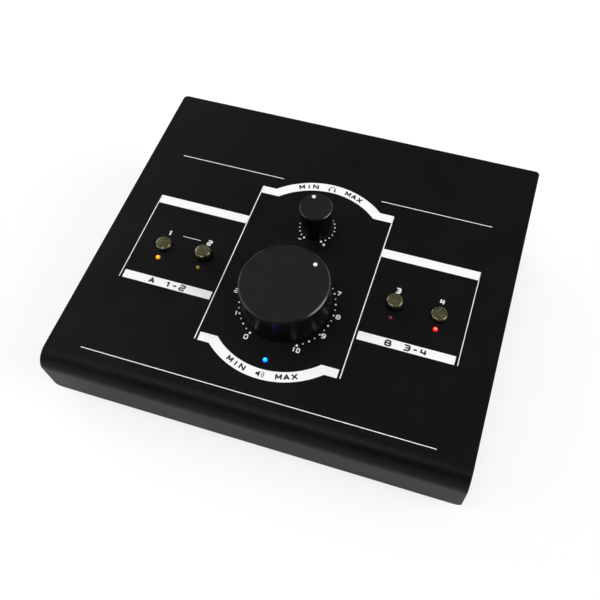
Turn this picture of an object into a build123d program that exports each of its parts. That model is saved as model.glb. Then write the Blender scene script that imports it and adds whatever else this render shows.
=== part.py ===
from build123d import *
from math import atan2, cos, pi, radians, sin, sqrt, tan
import os

# Desktop monitor controller. Millimetres, +X right, +Y to the rear, +Z up. The origin is on the
# table, under the middle of the controller.
#
# The cover, the knobs and the buttons are drawn in the panel frame: x to the right, y rearward
# along the panel from the plane of the front face, z out of the panel. on_panel() tilts it.

# ---- cover sheet ----
cover_width = 275.0
panel_length = 238.0          # rear edge to the plane of the front face, along the panel
cover_sheet = 2.5
bend_radius = 11.5            # outside of the front bend
front_drop = 38.0             # height of the front face
rear_corner_radius = 3.0
front_corner_radius = 4.5
panel_tilt = 8.0              # degrees, rear edge raised
lip_height = 5.5              # the front face's lower edge above the table

# ---- chassis ----
chassis_sheet = 1.5
side_recess = 3.0             # chassis sides lie this far inside the cover's edges
rear_overhang = 2.8           # the cover reaches this far past the rear panel
cover_gap = 0.3               # chassis to cover
fold_radius = 2.0
ear_width = 9.0
foot_height = 5.0
foot_radius = 8.0
foot_taper = 1.0
foot_inset = 16.0             # foot centre to the chassis walls

# ---- fits and fasteners ----
thread_gap = 0.05             # an M3 screw in its tapped hole
hole_gap = 0.2                # a screw in a plain hole
running_gap = 0.05            # a shaft in its bearing
socket_gap = 0.3              # a socket's bush in the panel
screw_radius = 1.5
head_radius = 2.75
head_height = 1.8
socket_flats = 2.0
case_screw_length = 5.0
board_screw_length = 7.0
foot_screw_recess = 2.6
screw_end = 2.0               # a screw's end past what it is tapped into

# ---- cover brackets ----
bracket_sheet = 1.5
bracket_length = 30.0
bracket_flange = 12.0
bracket_screw_drop = 8.0      # screw axis below the sheet
bracket_front = 60.0          # bracket's middle to the plane of the front face
bracket_rear = 53.0           # bracket's middle to the panel's rear edge

# ---- controls on the panel, from its rear edge and its middle ----
volume_rear = 153.9
headphone_rear = 91.0
button_rear = 134.4
lamp_rear = 144.8
power_lamp_rear = 195.9
outer_button_side = 41.9      # outer buttons to the cover's sides
button_pitch = 29.3

# ---- potentiometers ----
shaft_radius = 3.0
shaft_flat = 1.5              # the flat lies this far from the axis
bush_radius = 4.5
bush_height = 4.5             # above the panel
bush_hole_gap = 0.3
pot_depth = 14.5              # panel underside to board
volume_pot_size = 27.0
headphone_pot_size = 17.0
shaft_in_body = 8.0           # below the panel underside
washer_radius = 7.0
washer_thick = 0.6
pot_nut_flats = 12.0
pot_nut_thick = 2.2
pot_edge = 1.5

# ---- knobs ----
knob_lift = 0.8               # knob skirt above the panel
volume_knob_radius = 28.7
volume_knob_top = 26.1
volume_knob_wall = 3.2
volume_knob_roof = 12.0
volume_boss_radius = 9.0
volume_pointer_radius = 23.0
volume_pointer_angle = 38.6   # degrees clockwise from the rear, as stored
headphone_knob_radius = 11.0
headphone_knob_top = 23.0
headphone_knob_wall = 2.4
headphone_pointer_radius = 8.7
headphone_pointer_angle = -27.0
volume_knob_edge = 1.0
headphone_knob_edge = 0.6
boss_lift = 0.7               # knob boss above the bush
shaft_top_gap = 0.5
shaft_in_knob = 12.0
grub_length = 6.0
grub_height = 4.0             # grub axis above the boss's lower end
pointer_dot_radius = 1.5
pointer_dot_depth = 0.3

# ---- push buttons (latching) ----
button_radius = 5.5
button_hole_gap = 0.35
button_out_height = 5.8       # top of a released button
latch_travel = 2.5
over_travel = 0.5
plunger_length = 6.5
stem_radius = 1.9
stem_engagement = 1.0
cap_radius = 5.15
cap_side = 1.35
cap_dome = 0.55
cap_rim = 0.8                 # rounding between the cap's side and its dome
plunger_edge = 0.3
switch_size = 12.0
switch_height = 7.3
switch_edge = 0.8

# ---- indicator lamps ----
lamp_radius = 1.5
lamp_hole_gap = 0.15
lamp_proud = 1.2
lamp_length = 5.3
lamp_flange_radius = 1.95
lamp_flange = 1.0
lead_size = 0.5
lead_pitch = 2.54
lead_root = 0.5               # lead inside the lens
spacer_radius = 2.4
spacer_bore = 1.75

# ---- boards ----
board_thick = 1.6
board_corner = 2.0
control_board_margin = 12.0   # past the outer buttons
control_board_front = 8.0     # in front of the power lamp
control_board_rear = 16.0     # behind the headphone control
standoff_radius = 3.0
control_standoff_inset = 6.0
main_board_depth = 150.0
main_board_gap = 0.5          # to the rear panel
main_board_side = 3.0         # to the rear ears
main_board_lift = 9.0
main_standoff_inset = 6.0
main_standoff_rear = 45.0     # rear standoffs to the rear panel
header_length = 30.0
header_width = 8.0
header_height = 6.0
header_x = -45.0
control_header_rear = 88.0    # control board's header to the panel's rear edge
main_header_rear = 48.0       # main board's header to the rear panel
ribbon_width = 25.4
ribbon_thick = 0.9
ribbon_drop = 5.0
ribbon_bend = 2.5

# ---- rear panel sockets, spread evenly between the chassis ears ----
socket_reach = 6.5            # threaded bushes past the rear face
jack_bush_radius = 4.7
jack_bore_radius = 3.25
jack_bore_depth = 30.0
jack_length = 34.0
jack_width = 15.5
jack_height = 16.0
jack_axis_height = 8.0        # above the board
jack_edge = 1.0
jack_nut_flats = 12.7
jack_nut_thick = 2.4
jack_washer_radius = 7.4
dsub_axis_height = 8.0
dsub_flange_rim = 3.0         # flange past the screw axes
dsub_flange_height = 12.5
dsub_flange_thick = 0.8
dsub_width = 38.3
dsub_height = 7.9
dsub_wall = 0.5
dsub_corner = 2.4
dsub_slant = 10.0
dsub_reach = 5.8
dsub_core_gap = 0.15
dsub_core_sunk = 0.4
dsub_block_width = 40.0
dsub_block_depth = 9.0
dsub_block_top = 5.5
dsub_screw_pitch = 47.04
dsub_boss_radius = 2.6
dsub_boss_length = 3.0
pin_pitch = 2.77
pin_row_pitch = 2.84
upper_row_count = 13
lower_row_count = 12
pin_hole_radius = 0.5
pin_hole_depth = 5.0
jackscrew_flats = 4.75
jackscrew_length = 5.0
jackscrew_radius = 1.4
jackscrew_bore = 1.2
jackscrew_bore_depth = 4.5
inlet_width = 9.5
inlet_length = 14.0
inlet_height = 11.0
inlet_axis_height = 6.5
inlet_nose_radius = 4.2
inlet_nose = 0.8
inlet_bore_radius = 3.15
inlet_bore_depth = 9.5
inlet_pin_radius = 1.0
inlet_pin_sunk = 1.0
lock_slot_width = 7.0
lock_slot_height = 3.0
lock_slot_corner = 0.75
lock_slot_z = 27.0

# ---- power switch ----
power_z = 42.0
bezel_rim = 1.3               # bezel past the switch body
bezel_thick = 2.0
bezel_edge = 0.7
switch_wall = 1.6
switch_body_depth = 14.0
rocker_half = 6.6             # pivot to the rocker's end
rocker_width = 8.6
rocker_gap = 0.3
rocker_throw = 16.0           # degrees, on to off
rocker_proud = 0.6            # middle of the rocker past the bezel
rocker_back = 3.0             # behind the pivot
rocker_pivot_depth = 2.0      # pivot axis behind the panel's outer face
rocker_pin_radius = 1.2
rocker_pin_length = 1.2
terminal_width = 4.8
terminal_thick = 0.8
terminal_length = 7.0
terminal_pitch = 8.0

# ---- parts on the main board ----
trimmer_count = 8
trimmer_pitch = 25.0
trimmer_size = 9.5
trimmer_height = 6.5
trimmer_rear = 58.0           # to the rear panel
rotor_radius = 2.2
rotor_depth = 3.0
rotor_proud = 0.8
rotor_slot = 0.7
trimmer_access_radius = 2.5
relay_size = (15.0, 7.5, 10.0)
relay_edge = 0.6
relay_rear = 70.0
chip_size = (9.8, 6.4, 3.4)
chip_rear = 90.0
chip_foot = 0.5
chip_foot_reach = 0.6         # feet past the chip's sides
chip_foot_inset = 0.5         # feet short of the chip's ends
chip_notch_radius = 0.8
chip_notch_depth = 0.5
capacitor_radius = 5.0
capacitor_height = 16.0
capacitor_edge = 0.6
capacitor_count = 4
capacitor_side = 16.0         # outer capacitor to the board's end
capacitor_pitch = 15.0
capacitor_rear = 36.0
regulator_size = (10.0, 4.5, 9.0)
regulator_tab = (10.0, 1.3, 16.0)
regulator_hole_radius = 1.8
regulator_hole_drop = 3.5     # hole's axis below the tab's top
regulator_count = 3
regulator_side = 21.0         # outer regulator to the board's end
regulator_pitch = 20.0
regulator_rear = 112.0

past = 1.0                    # a cut runs this far past the face it opens

# ---- what follows from the sizes ----
dsub_flange_width = dsub_screw_pitch + 2 * dsub_flange_rim
volume_y = panel_length - volume_rear
headphone_y = panel_length - headphone_rear
button_y = panel_length - button_rear
lamp_y = panel_length - lamp_rear
power_lamp_y = panel_length - power_lamp_rear
control_header_y = panel_length - control_header_rear
outer_button_x = cover_width / 2 - outer_button_side
inner_button_x = outer_button_x - button_pitch
tilt_sin = sin(radians(panel_tilt))
tilt_cos = cos(radians(panel_tilt))
front_nose = bend_radius * (tilt_cos + tilt_sin - 1)
rear_reach = panel_length * tilt_cos - rear_overhang + socket_reach
front_y = -(front_nose + rear_reach) / 2
corner_z = lip_height + front_drop * tilt_cos
rear_face_y = front_y + panel_length * tilt_cos - rear_overhang
rear_inner_y = rear_face_y - chassis_sheet
chassis_half = cover_width / 2 - side_recess
chassis_inner_half = chassis_half - chassis_sheet
base_top = foot_height + chassis_sheet
board_top_in_panel = -cover_sheet - pot_depth
board_bottom_in_panel = board_top_in_panel - board_thick
main_board_bottom = base_top + main_board_lift
main_board_top = main_board_bottom + board_thick
boss_bottom = bush_height + boss_lift
far = 2 * cover_width

panel_place = Location((0, front_y, corner_z), (panel_tilt, 0, 0))


def on_panel(shape):
    """Carry a shape from the panel frame to the controller's frame."""
    return panel_place * shape


def underside_z(y):
    """Height of the cover's underside at a place along the controller."""
    along = (y - front_y - cover_sheet * tilt_sin) / tilt_cos
    return corner_z + along * tilt_sin - cover_sheet * tilt_cos


rear_panel_top = underside_z(rear_inner_y) - cover_gap

button_names = ("stereo", "sub", "mute", "dim")
button_x = dict(zip(button_names, (-outer_button_x, -inner_button_x, inner_button_x, outer_button_x)))
latched_in = ("stereo", "dim")


# ---- shared shapes ----
def block(x_range, y_range, z_range):
    sizes = [high - low for low, high in (x_range, y_range, z_range)]
    middle = [(low + high) / 2 for low, high in (x_range, y_range, z_range)]
    return Pos(*middle) * Box(*sizes)


def centred_block(size, x, y, z_low):
    return Pos(x, y, z_low + size[2] / 2) * Box(*size)


def rod(radius, z_low, z_high, x=0.0, y=0.0):
    return Pos(x, y, (z_low + z_high) / 2) * Cylinder(radius, z_high - z_low)


def rod_x(radius, x_low, x_high, y, z):
    return Pos((x_low + x_high) / 2, y, z) * Rot(0, 90, 0) * Cylinder(radius, x_high - x_low)


def rod_y(radius, y_low, y_high, x, z):
    return Pos(x, (y_low + y_high) / 2, z) * Rot(90, 0, 0) * Cylinder(radius, y_high - y_low)


def hex_prism(flats, z_low, z_high):
    outline = RegularPolygon(flats / 2, 6, major_radius=False)
    return Pos(0, 0, z_low) * extrude(outline, z_high - z_low)


def screw(length):
    """Button-head screw along Z, its head seated on z = 0 and its shank below."""
    head = rod(head_radius, 0, head_height)
    head = fillet(head.edges().sort_by(Axis.Z)[-1], head_height / 2)
    head -= hex_prism(socket_flats, head_height / 2, head_height + past)
    return head + rod(screw_radius, -length, 0)


def standoff(z_low, z_high, x, y):
    bore = screw_radius + thread_gap
    return rod(standoff_radius, z_low, z_high, x, y) - rod(bore, z_low - past, z_high + past, x, y)


def save(name, *solids):
    parts = []
    for solid in solids:
        parts.extend(solid.solids())
    shape = parts[0] if len(parts) == 1 else Compound(children=parts)
    shape.label = name
    export_step(shape, f"parts/{name}.step")
    print(f"{name}: {len(parts)} solid(s)")


# ---- enclosure ----
def wrapped_block(half_width, inset, rear_y, drop):
    """Block in the panel frame that follows the cover's outside at an inset."""
    body = block((-half_width, half_width), (inset, rear_y), (-drop, -inset))
    front_edge = body.edges().filter_by(Axis.X).sort_by(lambda edge: edge.center().Y - edge.center().Z)[0]
    return fillet(front_edge, bend_radius - inset)


def make_top_cover():
    half = cover_width / 2
    sheet = wrapped_block(half, 0, panel_length, front_drop)
    sheet -= wrapped_block(half + past, cover_sheet, panel_length + past, front_drop + past)
    rear_corners = sheet.edges().filter_by(Axis.Z).group_by(Axis.Y)[-1]
    sheet = fillet(rear_corners, rear_corner_radius)
    lower_corners = sheet.edges().filter_by(Axis.Y).group_by(Axis.Z)[0]
    lower_corners = lower_corners.filter_by(lambda edge: abs(edge.center().X) > half - cover_sheet)
    sheet = fillet(lower_corners, front_corner_radius)
    for y in (volume_y, headphone_y):
        sheet -= rod(bush_radius + bush_hole_gap, -cover_sheet - past, past, 0, y)
    for x in button_x.values():
        sheet -= rod(button_radius + button_hole_gap, -cover_sheet - past, past, x, button_y)
        sheet -= rod(lamp_radius + lamp_hole_gap, -cover_sheet - past, past, x, lamp_y)
    sheet -= rod(lamp_radius + lamp_hole_gap, -cover_sheet - past, past, 0, power_lamp_y)
    return on_panel(sheet)


bracket_places = [(side, y) for side in (-1, 1) for y in (bracket_front, panel_length - bracket_rear)]
bracket_screw_z = -cover_sheet - bracket_screw_drop


def side_screw_hole(side, y, radius):
    """Hole through a chassis side and its bracket, in the panel frame."""
    x_range = sorted((side * (chassis_half + past), side * (chassis_inner_half - bracket_sheet - past)))
    return rod_x(radius, *x_range, y, bracket_screw_z)


def make_bracket(side, y):
    y_range = (y - bracket_length / 2, y + bracket_length / 2)
    outer_x = side * chassis_inner_half
    flat = block(sorted((outer_x, outer_x - side * bracket_flange)), y_range,
                 (-cover_sheet - bracket_sheet, -cover_sheet))
    upright = block(sorted((outer_x, outer_x - side * bracket_sheet)), y_range,
                    (-cover_sheet - bracket_flange, -cover_sheet))
    bracket = flat + upright
    bracket -= side_screw_hole(side, y, screw_radius + thread_gap)
    return on_panel(bracket)


foot_x = chassis_half - foot_inset
front_wall_inset = cover_sheet + cover_gap
front_wall_y = front_y + (front_wall_inset + chassis_sheet) * tilt_cos + front_drop * tilt_sin
foot_places = [(x, y) for x in (-foot_x, foot_x)
               for y in (front_wall_y + foot_inset, rear_inner_y - foot_inset)]
trimmer_y = rear_inner_y - trimmer_rear
trimmer_x = [(i - (trimmer_count - 1) / 2) * trimmer_pitch for i in range(trimmer_count)]
ear_screw_x = chassis_inner_half - ear_width / 2
rear_screw_z = (base_top + ear_width / 2, rear_panel_top - ear_width)
rear_screw_places = [(x, z) for x in (-ear_screw_x, ear_screw_x) for z in rear_screw_z]


def make_chassis_tray():
    outside = on_panel(wrapped_block(chassis_half, front_wall_inset, panel_length + far, far))
    outside &= block((-far, far), (-far, rear_inner_y), (foot_height, far))
    bottom_folds = outside.edges().filter_by(Axis.Y).group_by(Axis.Z)[0]
    outside = fillet(bottom_folds, fold_radius)
    inside = on_panel(block((-chassis_inner_half, chassis_inner_half),
                            (front_wall_inset + chassis_sheet, panel_length + far), (-far, far)))
    inside &= block((-far, far), (-far, far), (base_top, 2 * far))
    tray = outside - inside
    for side in (-1, 1):
        ear_reach = (side * (chassis_inner_half + chassis_sheet / 2), side * (chassis_inner_half - ear_width))
        tray += block(sorted(ear_reach), (rear_inner_y - chassis_sheet, rear_inner_y),
                      (foot_height + chassis_sheet / 2, rear_panel_top - chassis_sheet))
    for side, y in bracket_places:
        tray -= on_panel(side_screw_hole(side, y, screw_radius + hole_gap))
    ear_cut = (rear_inner_y - chassis_sheet - past, rear_inner_y + past)
    for x, z in rear_screw_places:
        tray -= rod_y(screw_radius + thread_gap, *ear_cut, x, z)
    for x, y in foot_places:
        tray -= rod(screw_radius + thread_gap, foot_height - past, base_top + past, x, y)
    for x in trimmer_x:
        tray -= rod(trimmer_access_radius, foot_height - past, base_top + past, x, trimmer_y)
    return tray


def make_foot(x, y):
    foot = rod(foot_radius, 0, foot_height)
    foot = chamfer(foot.edges().sort_by(Axis.Z)[0], foot_taper)
    foot -= rod(head_radius + socket_gap, -past, foot_screw_recess)
    foot -= rod(screw_radius + hole_gap, -past, foot_height + past)
    return Pos(x, y, 0) * foot


def make_foot_screw(x, y):
    length = base_top + screw_end - foot_screw_recess
    return Pos(x, y, foot_screw_recess) * Rot(180, 0, 0) * screw(length)


def make_case_screws():
    side_turn = {-1: Rot(0, -90, 0), 1: Rot(0, 90, 0)}
    for side, y in bracket_places:
        place = Pos(side * chassis_half, y, bracket_screw_z) * side_turn[side]
        yield on_panel(place * screw(case_screw_length))
    for x, z in rear_screw_places:
        yield Pos(x, rear_face_y, z) * Rot(-90, 0, 0) * screw(case_screw_length)


# ---- rear panel ----
dsub_z = main_board_top + dsub_axis_height
jack_z = main_board_top + jack_axis_height
inlet_z = main_board_top + inlet_axis_height
rocker_sin = sin(radians(rocker_throw / 2))
rocker_cos = cos(radians(rocker_throw / 2))
rocker_face = rocker_pivot_depth + bezel_thick + rocker_proud
rocker_pivot_y = rear_face_y - rocker_pivot_depth
bezel_face_y = rear_face_y + bezel_thick
switch_half_x = rocker_width / 2 + rocker_gap + switch_wall
switch_half_z = rocker_half * rocker_cos + rocker_face * rocker_sin + rocker_gap + switch_wall

# The sockets in a row, as they follow each other along +X.
row_widths = {
    "aux_right": jack_width,
    "aux_left": jack_width,
    "phones": jack_width,
    "input_dsub": dsub_flange_width,
    "output_dsub": dsub_flange_width,
    "inlet": inlet_width,
    "power": 2 * (switch_half_x + bezel_rim),
    "lock_slot": lock_slot_width,
}
row_half = chassis_inner_half - ear_width
row_gap = (2 * row_half - sum(row_widths.values())) / (len(row_widths) + 1)
row_x = {}
reached = -row_half
for name, width in row_widths.items():
    row_x[name] = reached + row_gap + width / 2
    reached += row_gap + width
jack_x = [row_x[name] for name in ("phones", "aux_left", "aux_right")]
dsub_places = [row_x[name] for name in ("input_dsub", "output_dsub")]
inlet_x = row_x["inlet"]
power_x = row_x["power"]
lock_slot_x = row_x["lock_slot"]


def switch_block(margin, y_low, y_high):
    """Block round the power switch body, grown from its sides by a margin."""
    return block((power_x - switch_half_x - margin, power_x + switch_half_x + margin), (y_low, y_high),
                 (power_z - switch_half_z - margin, power_z + switch_half_z + margin))


def d_prism(x, z, margin, y_low, y_high):
    """D-shaped prism along Y, grown from the connector's outline by a margin."""
    half_height = dsub_height / 2 + margin
    half_top = dsub_width / 2 + margin
    half_bottom = half_top - 2 * half_height * tan(radians(dsub_slant))
    outline = Polyline((x - half_bottom, y_low, z - half_height), (x + half_bottom, y_low, z - half_height),
                       (x + half_top, y_low, z + half_height), (x - half_top, y_low, z + half_height),
                       close=True)
    prism = extrude(make_face(outline), y_high - y_low, dir=(0, 1, 0))
    return fillet(prism.edges().filter_by(Axis.Y), dsub_corner + margin)


def make_rear_panel():
    y_cut = (rear_inner_y - past, rear_face_y + past)
    panel = block((-chassis_half, chassis_half), (rear_inner_y, rear_face_y), (foot_height, rear_panel_top))
    for x, z in rear_screw_places:
        panel -= rod_y(screw_radius + hole_gap, *y_cut, x, z)
    for x in jack_x:
        panel -= rod_y(jack_bush_radius + socket_gap, *y_cut, x, jack_z)
    for x in dsub_places:
        panel -= d_prism(x, dsub_z, socket_gap, *y_cut)
        for side in (-1, 1):
            panel -= rod_y(jackscrew_radius + socket_gap, *y_cut, x + side * dsub_screw_pitch / 2, dsub_z)
    panel -= rod_y(inlet_nose_radius + socket_gap, *y_cut, inlet_x, inlet_z)
    panel -= switch_block(socket_gap, *y_cut)
    slot = block((lock_slot_x - lock_slot_width / 2, lock_slot_x + lock_slot_width / 2), y_cut,
                 (lock_slot_z - lock_slot_height / 2, lock_slot_z + lock_slot_height / 2))
    panel -= fillet(slot.edges().filter_by(Axis.Y), lock_slot_corner)
    return panel


def make_jack(x):
    body = block((x - jack_width / 2, x + jack_width / 2), (rear_inner_y - jack_length, rear_inner_y),
                 (main_board_top, main_board_top + jack_height))
    body = chamfer(body.edges().filter_by(Axis.Y).group_by(Axis.Z)[-1], jack_edge)
    bush = rod_y(jack_bush_radius, rear_inner_y - past, rear_face_y + socket_reach, x, jack_z)
    mouth = rear_face_y + socket_reach
    return body + bush - rod_y(jack_bore_radius, mouth - jack_bore_depth, mouth + past, x, jack_z)


def make_jack_nut(x):
    bore = jack_bush_radius + thread_gap
    washer = rod(jack_washer_radius, 0, washer_thick) - rod(bore, -past, washer_thick + past)
    nut = hex_prism(jack_nut_flats, washer_thick, washer_thick + jack_nut_thick)
    nut -= rod(bore, 0, washer_thick + jack_nut_thick + past)
    place = Pos(x, rear_face_y, jack_z) * Rot(-90, 0, 0)
    return place * washer, place * nut


def make_dsub_shell(x):
    back = rear_inner_y - dsub_flange_thick
    shell = block((x - dsub_flange_width / 2, x + dsub_flange_width / 2), (back, rear_inner_y),
                  (dsub_z - dsub_flange_height / 2, dsub_z + dsub_flange_height / 2))
    shell += d_prism(x, dsub_z, 0, back, rear_face_y + dsub_reach)
    boss_end = back - dsub_boss_length
    screw_x = [x + side * dsub_screw_pitch / 2 for side in (-1, 1)]
    for boss_x in screw_x:
        shell += rod_y(dsub_boss_radius, boss_end, rear_inner_y, boss_x, dsub_z)
    shell -= d_prism(x, dsub_z, -dsub_wall, back - past, rear_face_y + dsub_reach + past)
    for boss_x in screw_x:
        shell -= rod_y(jackscrew_radius + thread_gap, boss_end - past, rear_inner_y + past, boss_x, dsub_z)
    return shell


def make_dsub_core(x):
    back = rear_inner_y - dsub_flange_thick
    front = rear_face_y + dsub_reach - dsub_core_sunk
    core = d_prism(x, dsub_z, -dsub_wall - dsub_core_gap, back - past, front)
    core += block((x - dsub_block_width / 2, x + dsub_block_width / 2), (back - dsub_block_depth, back),
                  (main_board_top, dsub_z + dsub_block_top))
    for row, count in ((1, upper_row_count), (-1, lower_row_count)):
        pin_z = dsub_z + row * pin_row_pitch / 2
        for i in range(count):
            pin_x = x + (i - (count - 1) / 2) * pin_pitch
            core -= rod_y(pin_hole_radius, front - pin_hole_depth, front + past, pin_x, pin_z)
    return core


def make_jackscrew(x):
    body = hex_prism(jackscrew_flats, 0, jackscrew_length)
    body += rod(jackscrew_radius, -chassis_sheet - dsub_flange_thick - dsub_boss_length, 0)
    body -= rod(jackscrew_bore, jackscrew_length - jackscrew_bore_depth, jackscrew_length + past)
    return Pos(x, rear_face_y, dsub_z) * Rot(-90, 0, 0) * body


def make_dc_inlet():
    mouth = rear_face_y + inlet_nose
    body = block((inlet_x - inlet_width / 2, inlet_x + inlet_width / 2),
                 (rear_inner_y - inlet_length, rear_inner_y), (main_board_top, main_board_top + inlet_height))
    body += rod_y(inlet_nose_radius, rear_inner_y - past, mouth, inlet_x, inlet_z)
    body -= rod_y(inlet_bore_radius, mouth - inlet_bore_depth, mouth + past, inlet_x, inlet_z)
    body += rod_y(inlet_pin_radius, mouth - inlet_bore_depth - past, mouth - inlet_pin_sunk, inlet_x, inlet_z)
    return body


# ---- power switch ----
def make_power_switch_body():
    bezel = switch_block(bezel_rim, rear_face_y, bezel_face_y)
    bezel = fillet(bezel.edges().group_by(Axis.Y)[-1], bezel_edge)
    body = bezel + switch_block(0, rear_face_y - switch_body_depth, rear_face_y + bezel_thick / 2)
    cavity_back = rocker_pivot_y - rocker_back * rocker_cos - rocker_half * rocker_sin - rocker_gap
    body -= switch_block(-switch_wall, cavity_back, bezel_face_y + past)
    pin_half = rocker_width / 2 + rocker_pin_length + running_gap
    pin_x = (power_x - pin_half, power_x + pin_half)
    body -= rod_x(rocker_pin_radius + running_gap, *pin_x, rocker_pivot_y, power_z)
    for side in (-1, 1):
        z = power_z + side * terminal_pitch / 2
        body += block((power_x - terminal_width / 2, power_x + terminal_width / 2),
                      (rear_face_y - switch_body_depth - terminal_length, rear_face_y - switch_body_depth),
                      (z - terminal_thick / 2, z + terminal_thick / 2))
    return body


def make_power_rocker():
    """Rocker about the X axis: a block with a shallow vee face and two pivot pins."""
    half_width = rocker_width / 2
    rocker = block((-half_width, half_width), (-rocker_back, rocker_face), (-rocker_half, rocker_half))
    for side in (-1, 1):
        wedge = block((-rocker_width, rocker_width), (0, rocker_half), sorted((0, 2 * side * rocker_half)))
        rocker -= Pos(0, rocker_face, 0) * Rot(side * rocker_throw / 2, 0, 0) * wedge
    pin_half = half_width + rocker_pin_length
    rocker += rod_x(rocker_pin_radius, -pin_half, pin_half, 0, 0)
    return Pos(power_x, rocker_pivot_y, power_z) * Rot(rocker_throw / 2, 0, 0) * rocker


# ---- knobs and potentiometers ----
def pointer_turn(angle):
    """Turn that carries the rear direction to a clockwise pointer angle."""
    return Rot(0, 0, -angle)


def knob_blank(radius, top, edge):
    blank = rod(radius, knob_lift, top)
    blank = chamfer(blank.edges().group_by(Axis.Z)[-1], edge)
    return blank


def knob_bores(radius, access_radius):
    shaft_hole = rod(shaft_radius + running_gap, 0, boss_bottom + shaft_in_knob + shaft_top_gap)
    grub_hole = rod_y(access_radius, 0, radius + past, 0, boss_bottom + grub_height)
    return shaft_hole + grub_hole


def pointer_dimple(reach, top):
    return rod(pointer_dot_radius, top - pointer_dot_depth, top + past, 0, reach)


def make_volume_knob():
    knob = knob_blank(volume_knob_radius, volume_knob_top, volume_knob_edge)
    hollow = rod(volume_knob_radius - volume_knob_wall, 0, volume_knob_top - volume_knob_roof)
    hollow -= rod(volume_boss_radius, boss_bottom, volume_knob_top)
    knob -= hollow
    knob -= knob_bores(volume_knob_radius, screw_radius + thread_gap)
    knob -= pointer_dimple(volume_pointer_radius, volume_knob_top)
    return on_panel(Pos(0, volume_y, 0) * pointer_turn(volume_pointer_angle) * knob)


def make_headphone_knob():
    knob = knob_blank(headphone_knob_radius, headphone_knob_top, headphone_knob_edge)
    knob -= rod(headphone_knob_radius - headphone_knob_wall, 0, boss_bottom)
    knob -= knob_bores(headphone_knob_radius, screw_radius + thread_gap)
    knob -= pointer_dimple(headphone_pointer_radius, headphone_knob_top)
    return on_panel(Pos(0, headphone_y, 0) * pointer_turn(headphone_pointer_angle) * knob)


def make_shaft(y, angle):
    bottom = -cover_sheet - shaft_in_body
    top = boss_bottom + shaft_in_knob
    shaft = rod(shaft_radius, bottom, top)
    shaft -= block((-shaft_radius, shaft_radius), (shaft_flat, 2 * shaft_radius), (boss_bottom, top + past))
    return on_panel(Pos(0, y, 0) * pointer_turn(angle) * shaft)


def make_grub_screw(y, angle):
    grub = rod_y(screw_radius, shaft_flat, shaft_flat + grub_length, 0, boss_bottom + grub_height)
    key = Rot(-90, 0, 0) * hex_prism(screw_radius, grub_length / 2, grub_length + past)
    grub -= Pos(0, shaft_flat, boss_bottom + grub_height) * key
    return on_panel(Pos(0, y, 0) * pointer_turn(angle) * grub)


def make_pot_body(size, y):
    body = block((-size / 2, size / 2), (-size / 2, size / 2), (board_top_in_panel, -cover_sheet))
    body = chamfer(body.edges().filter_by(Axis.Z), pot_edge)
    body += rod(bush_radius, -cover_sheet - past, bush_height)
    body -= rod(shaft_radius + running_gap, -cover_sheet - shaft_in_body - running_gap, bush_height + past)
    return on_panel(Pos(0, y, 0) * body)


def make_pot_nut(y):
    bore = bush_radius + thread_gap
    washer = rod(washer_radius, 0, washer_thick) - rod(bore, -past, washer_thick + past)
    nut = hex_prism(pot_nut_flats, washer_thick, washer_thick + pot_nut_thick)
    nut -= rod(bore, 0, washer_thick + pot_nut_thick + past)
    return on_panel(Pos(0, y, 0) * washer), on_panel(Pos(0, y, 0) * nut)


# ---- buttons and lamps ----
def button_top(name):
    return button_out_height - (latch_travel if name in latched_in else 0)


def plunger_top(name):
    return button_top(name) - cap_dome - cap_side


switch_top = board_top_in_panel + switch_height
stem_bottom_out = switch_top - stem_engagement


def make_button(name):
    top = plunger_top(name)
    stem_bottom = stem_bottom_out - (latch_travel if name in latched_in else 0)
    plunger = rod(button_radius, top - plunger_length, top)
    plunger = chamfer(plunger.edges().group_by(Axis.Z)[-1], plunger_edge)
    plunger += rod(stem_radius, stem_bottom, top - plunger_length + past)
    return on_panel(Pos(button_x[name], button_y, 0) * plunger)


def cap_profile():
    """Half section of a cap: its side, its rounded rim and its dome."""
    height = cap_side + cap_dome
    dome_radius = (cap_radius ** 2 + cap_dome ** 2) / (2 * cap_dome)
    dome_middle = height - dome_radius
    rim_x = cap_radius - cap_rim
    rim_y = dome_middle + sqrt((dome_radius - cap_rim) ** 2 - rim_x ** 2)
    dome_slope = atan2(rim_y - dome_middle, rim_x)
    rim_end = (rim_x + cap_rim * cos(dome_slope), rim_y + cap_rim * sin(dome_slope))
    rim_mid = (rim_x + cap_rim * cos(dome_slope / 2), rim_y + cap_rim * sin(dome_slope / 2))
    dome_turn = (dome_slope + pi / 2) / 2
    dome_mid = (dome_radius * cos(dome_turn), dome_middle + dome_radius * sin(dome_turn))
    outline = Polyline((0, height), (0, 0), (cap_radius, 0), (cap_radius, rim_y))
    outline += ThreePointArc((cap_radius, rim_y), rim_mid, rim_end)
    outline += ThreePointArc(rim_end, dome_mid, (0, height))
    return make_face(Plane.XZ * outline)


def make_cap(name):
    cap = revolve(cap_profile(), Axis.Z)
    return on_panel(Pos(button_x[name], button_y, plunger_top(name)) * cap)


def make_switch(name):
    half = switch_size / 2
    body = block((-half, half), (-half, half), (board_top_in_panel, switch_top))
    body = chamfer(body.edges().filter_by(Axis.Z), switch_edge)
    deepest = stem_bottom_out - latch_travel - over_travel - hole_gap
    body -= rod(stem_radius + running_gap, deepest, switch_top + past)
    return on_panel(Pos(button_x[name], button_y, 0) * body)


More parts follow.
